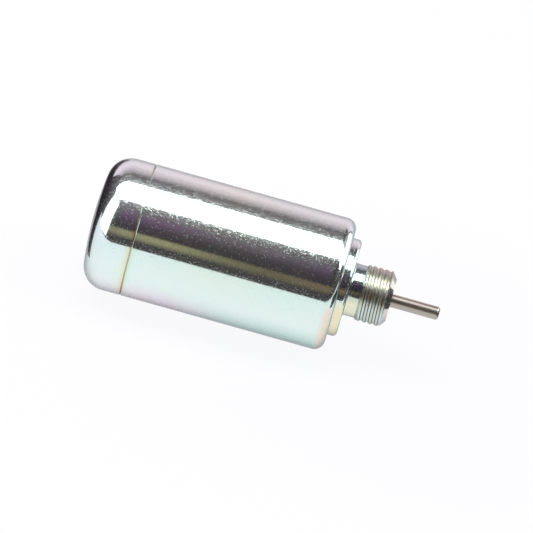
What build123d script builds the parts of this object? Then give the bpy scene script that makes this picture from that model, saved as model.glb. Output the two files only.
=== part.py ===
from build123d import *
import os
from math import cos, radians, sin

os.makedirs("parts", exist_ok=True)

# Fuel shutoff solenoid, in millimetres.
# The origin is on the axis, in the middle of the nose's thread. +X runs out of the
# nose along the push pin, +Y is the side with the terminals and +Z is up. The seat
# face is the flat ring round the neck that comes down on the pump housing.

# Can and rear cap
body_diameter = 33.0
body_length = 62.3
sheet_thickness = 1.5
front_edge_radius = 2.7
front_flat_width = 1.62
rear_corner_radius = 6.0
rear_dome_radius = 80.0
seam_from_rear = 11.3
seam_chamfer = 0.3
spigot_length = 3.0
spigot_wall = 1.4
joggle_length = 1.6

# Turned nose and flange
step_height = 2.2
step_edge_radius = 1.0
flange_thickness = 4.0
flange_groove_width = 2.0
flange_groove_land = 0.65
flange_groove_depth = 1.35
neck_diameter = 13.0
neck_length = 2.9
neck_fillet = 0.55
thread_diameter = 14.0
thread_runout = 0.5
nose_length = 10.5
nose_chamfer_depth = 1.7
nose_chamfer_length = 1.3
nose_bore_diameter = 4.2
bush_bore_diameter = 7.0
bush_bore_depth = 7.5
bush_recess = 0.3
bush_chamfer = 0.4

# Push pin, plunger and their travel
stroke = 8.0
pin_diameter = 3.3
pin_projection = 12.1
pin_tip_radius = 0.7
pin_grip = 9.0
pin_foot_chamfer = 0.3
plunger_to_body = 10 / 33
plunger_web = 2.0
plunger_front_chamfer = 0.5
vent_width = 1.0
vent_depth = 0.5
cone_shoulder = 0.6
cone_tip_wall = 0.65
cone_length = 3.0
pole_length = 9.6
bumper_thickness = 0.8
bumper_hole_diameter = 4.4
shim_thickness = 0.3

# Return spring
spring_wire_diameter = 0.6
spring_outer_diameter = 5.2
spring_pitch = 2.1
spring_seat_depth = 4.0

# Coil set and magnetic circuit
tube_wall = 0.5
tube_seat_depth = 2.8
bobbin_wall = 0.9
bobbin_flange_thickness = 1.6
winding_to_body = 8 / 11
wrap_thickness = 0.35
rear_plate_thickness = 3.0
plate_edge_chamfer = 0.4
pole_neck_diameter = 7.0
rivet_head_diameter = 8.8
rivet_head_height = 1.0
rivet_head_edge = 0.6

# Rubber rings
flange_ring_width = 1.7
stack_ring_length = 1.6
stack_ring_width = 1.8
seal_length = 1.8
seal_wall = 0.8
seal_lip_width = 0.6

# Terminals on the hidden side
block_room = 2.6
block_height = 3.4
block_shoulder = 1.6
block_edge_radius = 0.6
spigot_end_wall = 1.1
spigot_side_wall = 1.8
lug_reach = 0.7
lug_width = 2.4
gasket_thickness = 0.6
tab_width = 6.3
tab_thickness = 0.8
tab_gap = 2.6
tab_stand = 7.8
tab_foot = 1.1
tab_tip_chamfer = 1.2
tab_tip_bevel = 0.25
tab_hole_diameter = 1.8
tab_hole_from_tip = 3.6

# Winding leads
lead_diameter = 0.9
lead_bend_radius = 1.0
lead_lift = 0.4
lead_overlap = 2.6
lead_standoff = 0.1
lead_layer_depth = 0.7

# Clearances
running_clearance = 0.08
pin_clearance = 0.05
slip_clearance = 0.03
flange_clearance = 0.05
bend_clearance = 0.15
bobbin_clearance = 0.2
window_clearance = 0.1
cone_clearance = 0.15
stop_gap = 0.1

# Radii that follow from the sizes above
body_radius = body_diameter / 2
can_inner_radius = body_radius - sheet_thickness
bend_inner_radius = front_edge_radius - sheet_thickness
flange_radius = can_inner_radius - flange_clearance
groove_radius = flange_radius - flange_groove_depth
lip_radius = body_radius - front_edge_radius - front_flat_width
step_radius = lip_radius - slip_clearance
neck_radius = neck_diameter / 2
thread_radius = thread_diameter / 2
pin_radius = pin_diameter / 2
plunger_radius = body_radius * plunger_to_body
tube_inner_radius = plunger_radius + running_clearance
tube_outer_radius = tube_inner_radius + tube_wall
bobbin_bore_radius = tube_outer_radius + slip_clearance
bobbin_core_radius = bobbin_bore_radius + bobbin_wall
bobbin_flange_radius = can_inner_radius - bobbin_clearance
winding_radius = body_radius * winding_to_body
wrap_radius = winding_radius + wrap_thickness
spring_radius = (spring_outer_diameter - spring_wire_diameter) / 2
spring_bore_radius = spring_outer_diameter / 2 + cone_clearance
cone_base_radius = plunger_radius - cone_shoulder
cone_tip_radius = spring_bore_radius + cone_tip_wall

# Places on the X axis, from the front to the rear
thread_length = nose_length - nose_chamfer_length - neck_length - thread_runout
thread_front_x = thread_length / 2
thread_rear_x = -thread_length / 2
nose_end_x = thread_front_x + nose_chamfer_length
seat_x = nose_end_x - nose_length
body_front_x = seat_x - step_height
flange_front_x = body_front_x - sheet_thickness
flange_rear_x = flange_front_x - flange_thickness
body_rear_x = body_front_x - body_length
seam_x = body_rear_x + seam_from_rear
spigot_end_x = seam_x + spigot_length
plate_rear_x = spigot_end_x + stack_ring_length
plate_front_x = plate_rear_x + rear_plate_thickness
winding_front_x = flange_rear_x - bobbin_flange_thickness
winding_rear_x = plate_front_x + bobbin_flange_thickness
tube_seat_x = flange_rear_x + tube_seat_depth
bumper_rear_x = tube_seat_x - bumper_thickness

# The plunger set at rest, with the pin out, and the fixed parts it runs to
plunger_front_x = bumper_rear_x - stop_gap
pin_foot_x = plunger_front_x - pin_grip
pin_tip_x = nose_end_x + pin_projection
pole_rim_x = plate_front_x + pole_length
plunger_shoulder_x = pole_rim_x + stroke + 2 * stop_gap
plunger_tip_x = plunger_shoulder_x - cone_length
shim_front_x = plunger_tip_x - stroke - stop_gap
shim_rear_x = shim_front_x - shim_thickness
spring_front_x = pin_foot_x - plunger_web
spring_rear_x = shim_rear_x - spring_seat_depth


# Rear cap: a drawn cup with a slightly domed end and a large rounded corner.
# Its rim is joggled inwards to a spigot that sits in the end of the can.
def domed_end(radius, corner_radius, dome_radius, apex_x):
    """Corner arc, then dome arc, from the straight wall down to the axis."""
    dome_centre_x = apex_x + dome_radius
    corner_r = radius - corner_radius
    reach = dome_radius - corner_radius
    corner_x = dome_centre_x - (reach**2 - corner_r**2) ** 0.5
    lean_x = (corner_x - dome_centre_x) / reach
    lean_r = corner_r / reach
    meeting = (dome_centre_x + dome_radius * lean_x, dome_radius * lean_r)
    halfway = radians(45)
    corner_mid = (corner_x - corner_radius * cos(halfway), corner_r + corner_radius * sin(halfway))
    dome_mid_r = meeting[1] / 2
    dome_mid = (dome_centre_x - (dome_radius**2 - dome_mid_r**2) ** 0.5, dome_mid_r)
    corner = ThreePointArc((corner_x, radius), corner_mid, meeting)
    dome = ThreePointArc(meeting, dome_mid, (apex_x, 0))
    return corner @ 0, dome @ 1


spigot_outer_radius = can_inner_radius - flange_clearance
spigot_inner_radius = spigot_outer_radius - spigot_wall

with BuildPart() as rear_cap:
    with BuildSketch(Plane.XY):
        with BuildLine():
            outer_wall, outer_apex = domed_end(
                body_radius, rear_corner_radius, rear_dome_radius, body_rear_x
            )
            inner_wall, inner_apex = domed_end(
                can_inner_radius,
                rear_corner_radius - sheet_thickness,
                rear_dome_radius - sheet_thickness,
                body_rear_x + sheet_thickness,
            )
            Line(outer_apex, inner_apex)
            Polyline(
                outer_wall,
                (seam_x - seam_chamfer, body_radius),
                (seam_x, body_radius - seam_chamfer),
                (seam_x, spigot_outer_radius),
                (spigot_end_x, spigot_outer_radius),
                (spigot_end_x, spigot_inner_radius),
                (seam_x, spigot_inner_radius),
                (seam_x - joggle_length, can_inner_radius),
                inner_wall,
            )
        make_face()
    revolve(axis=Axis.X)
rear_cap.part.label = "rear_cap"
export_step(rear_cap.part, "parts/rear_cap.step")

# Terminal opening: a slot-shaped window in the far side of the can, over the winding.
spigot_size = (2 * tab_width + tab_gap + 2 * spigot_end_wall, tab_thickness + 2 * spigot_side_wall)
block_size = (spigot_size[0] + 2 * block_shoulder, spigot_size[1] + 2 * block_shoulder)
block_x = winding_rear_x + block_room + spigot_size[0] / 2
terminal_plane = Plane(origin=(block_x, 0, 0), x_dir=(1, 0, 0), z_dir=(0, 1, 0))

# Can: a drawn tube with its front edge turned inwards over the flange and a
# small chamfer at the rear edge, which makes the seam with the cap a fine V.
with BuildPart() as can:
    with BuildSketch(Plane.XY) as can_wall:
        with BuildLine():
            Polyline(
                (seam_x, can_inner_radius),
                (seam_x, body_radius - seam_chamfer),
                (seam_x + seam_chamfer, body_radius),
                (body_front_x, body_radius),
                (body_front_x, lip_radius),
                (flange_front_x, lip_radius),
                (flange_front_x, can_inner_radius),
                close=True,
            )
        make_face()
        front_corner = can_wall.vertices().group_by(Axis.X)[-1].sort_by(Axis.Y)[-1]
        fillet(front_corner, radius=front_edge_radius)
        inner_corner = can_wall.vertices().sort_by_distance((flange_front_x, can_inner_radius))[0]
        fillet(inner_corner, radius=bend_inner_radius)
    revolve(axis=Axis.X)
    with BuildSketch(terminal_plane.offset(can_inner_radius - sheet_thickness)):
        SlotOverall(spigot_size[0] + 2 * window_clearance, spigot_size[1] + 2 * window_clearance)
    extrude(amount=3 * sheet_thickness, mode=Mode.SUBTRACT)
can.part.label = "can"
export_step(can.part, "parts/can.step")

# Nose flange: one turned steel piece. The flange is clamped behind the can's
# lip, the stepped disc stands out through it, and the neck and the nose follow.
# The nose is plain here at the thread's major diameter.
with BuildPart() as nose_flange:
    with BuildSketch(Plane.XY):
        with BuildLine():
            Polyline(
                (flange_rear_x, 0),
                (flange_rear_x, flange_radius),
                (flange_front_x - bend_inner_radius - bend_clearance, flange_radius),
                (flange_front_x, flange_radius - bend_inner_radius - bend_clearance),
                (flange_front_x, step_radius),
                (seat_x, step_radius),
                (seat_x, neck_radius),
                (seat_x + neck_length, neck_radius),
                (thread_rear_x, thread_radius),
                (thread_front_x, thread_radius),
                (nose_end_x, thread_radius - nose_chamfer_depth),
                (nose_end_x, 0),
                close=True,
            )
        make_face()
    revolve(axis=Axis.X)
    rims = nose_flange.edges().filter_by(GeomType.CIRCLE)
    fillet(rims.sort_by_distance((seat_x, step_radius, 0))[0], radius=step_edge_radius)
    rims = nose_flange.edges().filter_by(GeomType.CIRCLE)
    fillet(rims.sort_by_distance((seat_x, neck_radius, 0))[0], radius=neck_fillet)
    with BuildSketch(Plane.YZ.offset(flange_rear_x + flange_groove_land)):
        Circle(flange_radius + flange_clearance)
        Circle(groove_radius, mode=Mode.SUBTRACT)
    extrude(amount=flange_groove_width, mode=Mode.SUBTRACT)
    with BuildSketch(Plane.YZ.offset(flange_rear_x)):
        Circle(tube_outer_radius + slip_clearance)
    extrude(amount=tube_seat_depth, mode=Mode.SUBTRACT)
    with BuildSketch(Plane.YZ.offset(tube_seat_x)):
        Circle(nose_bore_diameter / 2)
    extrude(amount=nose_end_x - tube_seat_x, mode=Mode.SUBTRACT)
    with BuildSketch(Plane.YZ.offset(nose_end_x - bush_bore_depth)):
        Circle(bush_bore_diameter / 2)
    extrude(amount=bush_bore_depth, mode=Mode.SUBTRACT)
nose_flange.part.label = "nose_flange"
export_step(nose_flange.part, "parts/nose_flange.step")

# Flange ring: rubber seal ring squeezed between the flange's groove and the can.
flange_ring_height = flange_groove_depth + flange_clearance
groove_mid_x = flange_rear_x + flange_groove_land + flange_groove_width / 2

with BuildPart() as flange_ring:
    with BuildSketch(Plane.XY):
        with Locations((groove_mid_x, groove_radius + flange_ring_height / 2)):
            SlotOverall(flange_ring_width, flange_ring_height)
    revolve(axis=Axis.X)
flange_ring.part.label = "flange_ring"
export_step(flange_ring.part, "parts/flange_ring.step")

# Pin seal: rubber ring at the bottom of the nose bore, with a lip round the pin.
seal_rear_x = nose_end_x - bush_bore_depth
bush_rear_x = seal_rear_x + seal_length
bush_outer_radius = bush_bore_diameter / 2 - slip_clearance
bush_inner_radius = pin_radius + pin_clearance
seal_ring_radius = bush_outer_radius - seal_wall

with BuildPart() as pin_seal:
    with BuildSketch(Plane.XY):
        with BuildLine():
            Polyline(
                (seal_rear_x, bush_outer_radius),
                (bush_rear_x, bush_outer_radius),
                (bush_rear_x, seal_ring_radius),
                (seal_rear_x + seal_lip_width, bush_inner_radius),
                (seal_rear_x, bush_inner_radius),
                close=True,
            )
        make_face()
    revolve(axis=Axis.X)
pin_seal.part.label = "pin_seal"
export_step(pin_seal.part, "parts/pin_seal.step")

# Guide bush: bronze bush pressed into the nose, chamfered at its mouth.
with BuildPart() as guide_bush:
    with BuildSketch(Plane.YZ.offset(bush_rear_x)):
        Circle(bush_outer_radius)
        Circle(bush_inner_radius, mode=Mode.SUBTRACT)
    extrude(amount=nose_end_x - bush_recess - bush_rear_x)
    chamfer(guide_bush.faces().sort_by(Axis.X)[-1].edges(), length=bush_chamfer)
guide_bush.part.label = "guide_bush"
export_step(guide_bush.part, "parts/guide_bush.step")

# Bumper washer: soft washer at the front of the plunger's run.
with BuildPart() as bumper_washer:
    with BuildSketch(Plane.YZ.offset(bumper_rear_x)):
        Circle(tube_outer_radius)
        Circle(bumper_hole_diameter / 2, mode=Mode.SUBTRACT)
    extrude(amount=bumper_thickness)
bumper_washer.part.label = "bumper_washer"
export_step(bumper_washer.part, "parts/bumper_washer.step")

# Guide tube: thin brass tube from the flange's counterbore to the rear plate.
with BuildPart() as guide_tube:
    with BuildSketch(Plane.YZ.offset(plate_front_x)):
        Circle(tube_outer_radius)
        Circle(tube_inner_radius, mode=Mode.SUBTRACT)
    extrude(amount=bumper_rear_x - plate_front_x)
guide_tube.part.label = "guide_tube"
export_step(guide_tube.part, "parts/guide_tube.step")

# Bobbin: moulded spool between flange and rear plate. Each end flange has a
# slot on its winding side that takes one lead down to the winding.
lead_radius = lead_diameter / 2
lead_z = tab_thickness / 2 + lead_radius
lead_slot_width = lead_diameter + 2 * lead_standoff
outer_layer_y = winding_radius - lead_layer_depth
inner_layer_y = bobbin_core_radius + lead_layer_depth
lead_slots = (
    (winding_front_x, outer_layer_y),
    (winding_rear_x - lead_slot_width, inner_layer_y),
)

with BuildPart() as bobbin:
    with BuildSketch(Plane.YZ.offset(plate_front_x)):
        Circle(bobbin_core_radius)
    extrude(amount=flange_rear_x - plate_front_x)
    for flange_x in (plate_front_x, winding_front_x):
        with BuildSketch(Plane.YZ.offset(flange_x)):
            Circle(bobbin_flange_radius)
        extrude(amount=bobbin_flange_thickness)
    with BuildSketch(Plane.YZ.offset(plate_front_x)):
        Circle(bobbin_bore_radius)
    extrude(amount=flange_rear_x - plate_front_x, mode=Mode.SUBTRACT)
    for slot_x, slot_y in lead_slots:
        slot_height = bobbin_flange_radius - slot_y + 2 * lead_standoff
        with BuildSketch(Plane.YZ.offset(slot_x)):
            with Locations((slot_y - lead_standoff + slot_height / 2, lead_z)):
                Rectangle(slot_height, lead_slot_width)
        extrude(amount=lead_slot_width, mode=Mode.SUBTRACT)
bobbin.part.label = "bobbin"
export_step(bobbin.part, "parts/bobbin.step")

# Coil: the enamelled copper winding, as one solid that fills the spool.
with BuildPart() as coil:
    with BuildSketch(Plane.YZ.offset(winding_rear_x)):
        Circle(winding_radius)
        Circle(bobbin_core_radius, mode=Mode.SUBTRACT)
    extrude(amount=winding_front_x - winding_rear_x)
coil.part.label = "coil"
export_step(coil.part, "parts/coil.step")

# Coil wrap: insulating tape over the winding.
with BuildPart() as coil_wrap:
    with BuildSketch(Plane.YZ.offset(winding_rear_x)):
        Circle(wrap_radius)
        Circle(winding_radius, mode=Mode.SUBTRACT)
    extrude(amount=winding_front_x - winding_rear_x)
coil_wrap.part.label = "coil_wrap"
export_step(coil_wrap.part, "parts/coil_wrap.step")

# Rear plate: steel washer that carries the flux from the can to the pole.
with BuildPart() as rear_plate:
    with BuildSketch(Plane.YZ.offset(plate_rear_x)):
        Circle(flange_radius)
        Circle(pole_neck_diameter / 2 + slip_clearance, mode=Mode.SUBTRACT)
    extrude(amount=rear_plate_thickness)
    plate_rims = rear_plate.edges().filter_by(GeomType.CIRCLE).group_by(SortBy.RADIUS)[-1]
    chamfer(plate_rims, length=plate_edge_chamfer)
rear_plate.part.label = "rear_plate"
export_step(rear_plate.part, "parts/rear_plate.step")

# Rear pole: soft iron, with a conical recess that the plunger's cone enters and
# a seat for the spring. Its neck goes through the plate and is headed over.
with BuildPart() as rear_pole:
    with BuildSketch(Plane.XY):
        with BuildLine():
            Polyline(
                (spring_rear_x, 0),
                (spring_rear_x, spring_bore_radius),
                (shim_rear_x, spring_bore_radius),
                (shim_rear_x, cone_tip_radius + cone_clearance),
                (pole_rim_x, cone_base_radius + cone_clearance),
                (pole_rim_x, tube_inner_radius - slip_clearance),
                (plate_front_x, tube_inner_radius - slip_clearance),
                (plate_front_x, pole_neck_diameter / 2),
                (plate_rear_x, pole_neck_diameter / 2),
                (plate_rear_x, rivet_head_diameter / 2),
                (plate_rear_x - rivet_head_height + rivet_head_edge, rivet_head_diameter / 2),
                (plate_rear_x - rivet_head_height, rivet_head_diameter / 2 - rivet_head_edge),
                (plate_rear_x - rivet_head_height, 0),
                close=True,
            )
        make_face()
    revolve(axis=Axis.X)
rear_pole.part.label = "rear_pole"
export_step(rear_pole.part, "parts/rear_pole.step")

# Residual shim: thin brass ring that keeps the plunger from sticking to the pole.
with BuildPart() as residual_shim:
    with BuildSketch(Plane.YZ.offset(shim_rear_x)):
        Circle(cone_tip_radius)
        Circle(spring_bore_radius, mode=Mode.SUBTRACT)
    extrude(amount=shim_thickness)
residual_shim.part.label = "residual_shim"
export_step(residual_shim.part, "parts/residual_shim.step")

# Stack ring: rubber ring squeezed between the rear plate and the cap's spigot.
with BuildPart() as stack_ring:
    with BuildSketch(Plane.XY):
        ring_middle = (plate_rear_x - stack_ring_length / 2, spigot_outer_radius - stack_ring_width / 2)
        with Locations(ring_middle):
            SlotOverall(stack_ring_width, stack_ring_length, rotation=90)
    revolve(axis=Axis.X)
stack_ring.part.label = "stack_ring"
export_step(stack_ring.part, "parts/stack_ring.step")

# Plunger: soft iron core with a bore for the pin, a bore for the spring, a cone
# that matches the pole's recess, and two grooves that let air past.
with BuildPart() as plunger:
    with BuildSketch(Plane.XY):
        with BuildLine():
            Polyline(
                (pin_foot_x, 0),
                (pin_foot_x, pin_radius),
                (plunger_front_x, pin_radius),
                (plunger_front_x, plunger_radius - plunger_front_chamfer),
                (plunger_front_x - plunger_front_chamfer, plunger_radius),
                (plunger_shoulder_x, plunger_radius),
                (plunger_shoulder_x, cone_base_radius),
                (plunger_tip_x, cone_tip_radius),
                (plunger_tip_x, spring_bore_radius),
                (spring_front_x, spring_bore_radius),
                (spring_front_x, 0),
                close=True,
            )
        make_face()
    revolve(axis=Axis.X)
    with BuildSketch(Plane.YZ.offset(plunger_shoulder_x)):
        with PolarLocations(plunger_radius, 2):
            Rectangle(2 * vent_depth, vent_width)
    extrude(amount=plunger_front_x - plunger_shoulder_x, mode=Mode.SUBTRACT)
plunger.part.label = "plunger"
export_step(plunger.part, "parts/plunger.step")

# Push pin: ground steel pin, pressed into the plunger, with a rounded tip.
with BuildPart() as push_pin:
    with BuildSketch(Plane.YZ.offset(pin_foot_x)):
        Circle(pin_radius)
    extrude(amount=pin_tip_x - pin_foot_x)
    pin_ends = push_pin.edges().filter_by(GeomType.CIRCLE).sort_by(Axis.X)
    fillet(pin_ends[-1], radius=pin_tip_radius)
    chamfer(pin_ends[0], length=pin_foot_chamfer)
push_pin.part.label = "push_pin"
export_step(push_pin.part, "parts/push_pin.step")

# Return spring: round wire between the pole's seat and the plunger's bore, with
# its end coils ground flat.
with BuildPart() as return_spring:
    with BuildLine():
        coils = Helix(
            pitch=spring_pitch,
            height=spring_front_x - spring_rear_x,
            radius=spring_radius,
            center=(spring_rear_x, 0, 0),
            direction=(1, 0, 0),
        )
    with BuildSketch(Plane(origin=coils @ 0, z_dir=coils % 0)):
        Circle(spring_wire_diameter / 2)
    sweep(path=coils, is_frenet=True)
    split(bisect_by=Plane.YZ.offset(spring_rear_x), keep=Keep.TOP)
    split(bisect_by=Plane.YZ.offset(spring_front_x), keep=Keep.BOTTOM)
return_spring.part.label = "return_spring"
export_step(return_spring.part, "parts/return_spring.step")

# Terminal block: moulded insulator on the can's far side. Its saddle sits on the
# gasket, and its spigot snaps through the window with a lug at each end.
lead_y = wrap_radius + lead_lift + lead_radius
tab_foot_y = wrap_radius + lead_lift
spigot_inner_y = tab_foot_y + tab_foot
saddle_radius = body_radius + gasket_thickness
block_top_y = saddle_radius + block_height
tab_top_y = block_top_y + tab_stand
tab_offset = (tab_width + tab_gap) / 2
lug_top_y = (can_inner_radius**2 - (lug_width / 2) ** 2) ** 0.5 - slip_clearance

with BuildPart() as terminal_block:
    with BuildSketch(terminal_plane):
        SlotOverall(*block_size)
    extrude(amount=block_top_y)
    fillet(terminal_block.faces().sort_by(Axis.Y)[-1].edges(), radius=block_edge_radius)
    with BuildSketch(Plane.YZ.offset(block_x - block_size[0])):
        Circle(saddle_radius)
    extrude(amount=2 * block_size[0], mode=Mode.SUBTRACT)
    with BuildSketch(terminal_plane.offset(spigot_inner_y)):
        SlotOverall(*spigot_size)
    extrude(amount=saddle_radius - spigot_inner_y)
    with BuildSketch(terminal_plane.offset(spigot_inner_y)):
        Rectangle(spigot_size[0] + 2 * lug_reach, lug_width)
    extrude(amount=lug_top_y - spigot_inner_y)
    with BuildSketch(terminal_plane.offset(spigot_inner_y)):
        with Locations((-tab_offset, 0), (tab_offset, 0)):
            Rectangle(tab_width, tab_thickness)
    extrude(amount=block_top_y - spigot_inner_y, mode=Mode.SUBTRACT)
terminal_block.part.label = "terminal_block"
export_step(terminal_block.part, "parts/terminal_block.step")

# Terminal gasket: rubber saddle between the block and the can.
with BuildPart() as terminal_gasket:
    with BuildSketch(terminal_plane):
        SlotOverall(*block_size)
        SlotOverall(*spigot_size, mode=Mode.SUBTRACT)
    extrude(amount=block_top_y)
    with BuildSketch(Plane.YZ.offset(block_x - block_size[0])):
        Circle(saddle_radius)
        Circle(body_radius, mode=Mode.SUBTRACT)
    extrude(amount=2 * block_size[0], mode=Mode.INTERSECT)
terminal_gasket.part.label = "terminal_gasket"
export_step(terminal_gasket.part, "parts/terminal_gasket.step")

# Terminal blades and winding leads: one flat tab and one wire at each end of the
# block. The wire lies along the tab's foot and turns down into its bobbin slot.
lead_ends = {
    "front": (1, winding_front_x + lead_standoff + lead_radius, outer_layer_y),
    "rear": (-1, winding_rear_x - lead_standoff - lead_radius, inner_layer_y),
}

for end, (side, turn_x, layer_y) in lead_ends.items():
    blade_x = block_x + side * tab_offset
    with BuildPart() as blade:
        with BuildSketch(Plane.XY) as outline:
            with Locations((blade_x, (tab_foot_y + tab_top_y) / 2)):
                Rectangle(tab_width, tab_top_y - tab_foot_y)
            chamfer(outline.vertices().group_by(Axis.Y)[-1], length=tab_tip_chamfer)
            with Locations((blade_x, tab_top_y - tab_hole_from_tip)):
                Circle(tab_hole_diameter / 2, mode=Mode.SUBTRACT)
        extrude(amount=tab_thickness / 2, both=True)
        tip_edges = blade.faces().sort_by(Axis.Y)[-1].edges().filter_by(Axis.X)
        chamfer(tip_edges, length=tab_tip_bevel)
    blade.part.label = f"terminal_blade_{end}"
    export_step(blade.part, f"parts/terminal_blade_{end}.step")

    lead_start_x = blade_x + side * (tab_width / 2 - lead_overlap)
    with BuildPart() as lead:
        with BuildLine(Plane.XY.offset(lead_z)) as route:
            FilletPolyline(
                (lead_start_x, lead_y),
                (turn_x, lead_y),
                (turn_x, layer_y),
                radius=lead_bend_radius,
            )
        with BuildSketch(Plane(origin=route.line @ 0, z_dir=route.line % 0)):
            Circle(lead_radius)
        sweep()
    lead.part.label = f"coil_lead_{end}"
    export_step(lead.part, f"parts/coil_lead_{end}.step")
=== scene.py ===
from math import asin, atan2, ceil, cos, pi, radians, sin, sqrt

import bpy
from mathutils import Matrix, Vector


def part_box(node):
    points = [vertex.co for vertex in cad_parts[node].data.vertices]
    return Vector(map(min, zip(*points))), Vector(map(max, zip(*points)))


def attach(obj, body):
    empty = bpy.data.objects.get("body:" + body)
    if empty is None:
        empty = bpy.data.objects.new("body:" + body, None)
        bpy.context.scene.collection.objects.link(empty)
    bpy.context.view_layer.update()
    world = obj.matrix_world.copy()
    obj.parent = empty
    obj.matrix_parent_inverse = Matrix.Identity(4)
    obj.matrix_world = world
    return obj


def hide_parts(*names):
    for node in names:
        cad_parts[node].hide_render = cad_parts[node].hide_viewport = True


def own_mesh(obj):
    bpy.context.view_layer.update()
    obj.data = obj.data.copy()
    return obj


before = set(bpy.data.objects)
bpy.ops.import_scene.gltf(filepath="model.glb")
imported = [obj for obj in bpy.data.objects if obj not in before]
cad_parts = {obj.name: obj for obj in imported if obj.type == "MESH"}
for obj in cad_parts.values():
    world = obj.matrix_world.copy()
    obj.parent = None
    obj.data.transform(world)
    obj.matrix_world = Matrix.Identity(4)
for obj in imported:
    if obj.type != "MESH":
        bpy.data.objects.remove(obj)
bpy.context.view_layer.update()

# Camera: a long lens, well back and 29.5 degrees above the floor, square to the
# solenoid's side. It is rolled, so that the axis falls towards the pin by 15.3 degrees.
mm = 0.001
frame_width = 129.25 * mm
camera_distance, camera_reach = 1.8, 20
sensor_width = 36
elevation, yaw, roll = radians(29.5), radians(0.66), radians(15.3)
axis_from_centre = (26.14 * mm, -7.08 * mm)

bpy.ops.object.select_all(action="DESELECT")
bpy.ops.object.camera_add()
camera = bpy.context.object
camera.name = "camera"
camera.data.sensor_width = sensor_width
camera.data.lens = sensor_width * camera_distance / frame_width
camera.data.clip_end = camera_reach
towards_camera = Vector((sin(yaw) * cos(elevation), -cos(yaw) * cos(elevation), sin(elevation)))
turn = (-towards_camera).to_track_quat("-Z", "Y").to_matrix() @ Matrix.Rotation(roll, 3, "Z")
aim = turn @ Vector((-axis_from_centre[0], -axis_from_centre[1], 0))
camera.matrix_world = Matrix.Translation(aim + towards_camera * camera_distance) @ turn.to_4x4()
bpy.context.scene.camera = camera
bpy.context.scene.view_settings.view_transform = "Standard"


# Floor: a sheet of matt white paper, lit from below, that the solenoid lies on, on its
# side. It is as light as the picture's edge, and a soft shadow shows on it.
def srgb(code):
    """An sRGB hex colour as linear red, green, blue and alpha."""
    parts = [int(code[i : i + 2], 16) / 255 for i in (1, 3, 5)]
    return [c / 12.92 if c <= 0.04045 else ((c + 0.055) / 1.055) ** 2.4 for c in parts] + [1]


def add_node(material, kind, settings={}, links={}):
    """Adds a node to a material, with its settings and with the outputs that feed it.

    A ramp's stops are places with hex colours, or places with linear greys.
    """
    node = material.node_tree.nodes.new("ShaderNode" + kind)
    for name, value in settings.items():
        if name == "stops":
            ramp = node.color_ramp.elements
            while len(ramp) < len(value):
                ramp.new(1)
            for stop, (place, tone) in zip(ramp, value):
                stop.position = place
                stop.color = srgb(tone) if isinstance(tone, str) else (tone, tone, tone, 1)
        elif isinstance(name, str) and hasattr(node, name):
            setattr(node, name, value)
        else:
            node.inputs[name].default_value = value
    for name, output in links.items():
        material.node_tree.links.new(output, node.inputs[name])
    return node


def new_material(name, settings):
    """A material with one Principled shader, and that shader."""
    material = bpy.data.materials.new(name)
    material.use_nodes = True
    shader = material.node_tree.nodes["Principled BSDF"]
    for key, value in settings.items():
        shader.inputs[key].default_value = value
    return material, shader


floor_size = 6.0
floor_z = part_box("can")[0][2]
bpy.ops.mesh.primitive_plane_add(size=floor_size, location=(0, 0, floor_z))
floor = bpy.context.object
floor.name = "floor"
backlit_sheet = new_material(
    "backlit_sheet",
    {
        "Base Color": srgb("#303030"),
        "Roughness": 0.9,
        "Specular IOR Level": 0,
        "Emission Color": srgb("#fdfdff"),
        "Emission Strength": 0.94,
    },
)[0]
floor.data.materials.append(backlit_sheet)


# Lights: a long softbox overhead, which faces down, and an upright one off the rear end.
# The first shows as the white band along the plated body, the second as its wedge.
def softbox(name, centre, rotation, width, height, radiance):
    """A rectangular softbox, turned from one that faces down."""
    bpy.ops.object.light_add(type="AREA", location=centre, rotation=rotation)
    lamp = bpy.context.object
    lamp.name = name
    lamp.data.shape = "RECTANGLE"
    lamp.data.size = width
    lamp.data.size_y = height
    lamp.data.energy = radiance * pi * width * height
    lamp.visible_camera = False


upright = (pi / 2, 0, radians(-67))
softbox("softbox_overhead", (0.3, 0.004, 0.6), (0, 0, 0), width=1.9, height=0.373, radiance=8)
softbox("softbox_left", (-0.92, -0.39, 0.78), upright, width=0.85, height=1.6, radiance=2.5)

# Boards: a pale pink one behind, brighter towards the floor; in front a khaki one of
# uneven tone, and above it a dark one with two purple patches; and a white one beyond
# the nose. They are seen only as reflections.
full_glow = 2.0


def board(name, x, y, low, high, width, tints, glows):
    """An upright board, with its tints from left to right and its glows from the bottom up."""
    middle = (x, y, floor_z + (low + high) / 2)
    bpy.ops.mesh.primitive_plane_add(size=1, location=middle, rotation=(pi / 2, 0, 0))
    card = bpy.context.object
    card.name = name
    card.scale = (width, high - low, 1)
    material, shader = new_material(name, {"Base Color": srgb("#000000")})
    place = add_node(material, "TexCoord").outputs["Generated"]
    across = add_node(material, "SeparateXYZ", {}, {0: place}).outputs
    tint = add_node(material, "ValToRGB", {"stops": tints}, {0: across["X"]}).outputs["Color"]
    glow = add_node(material, "ValToRGB", {"stops": glows}, {0: across["Y"]}).outputs["Color"]
    strength = add_node(material, "Math", {"operation": "MULTIPLY", 1: full_glow}, {0: glow})
    material.node_tree.links.new(tint, shader.inputs["Emission Color"])
    material.node_tree.links.new(strength.outputs[0], shader.inputs["Emission Strength"])
    card.data.materials.append(material)
    card.visible_camera = False
    return card


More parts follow.
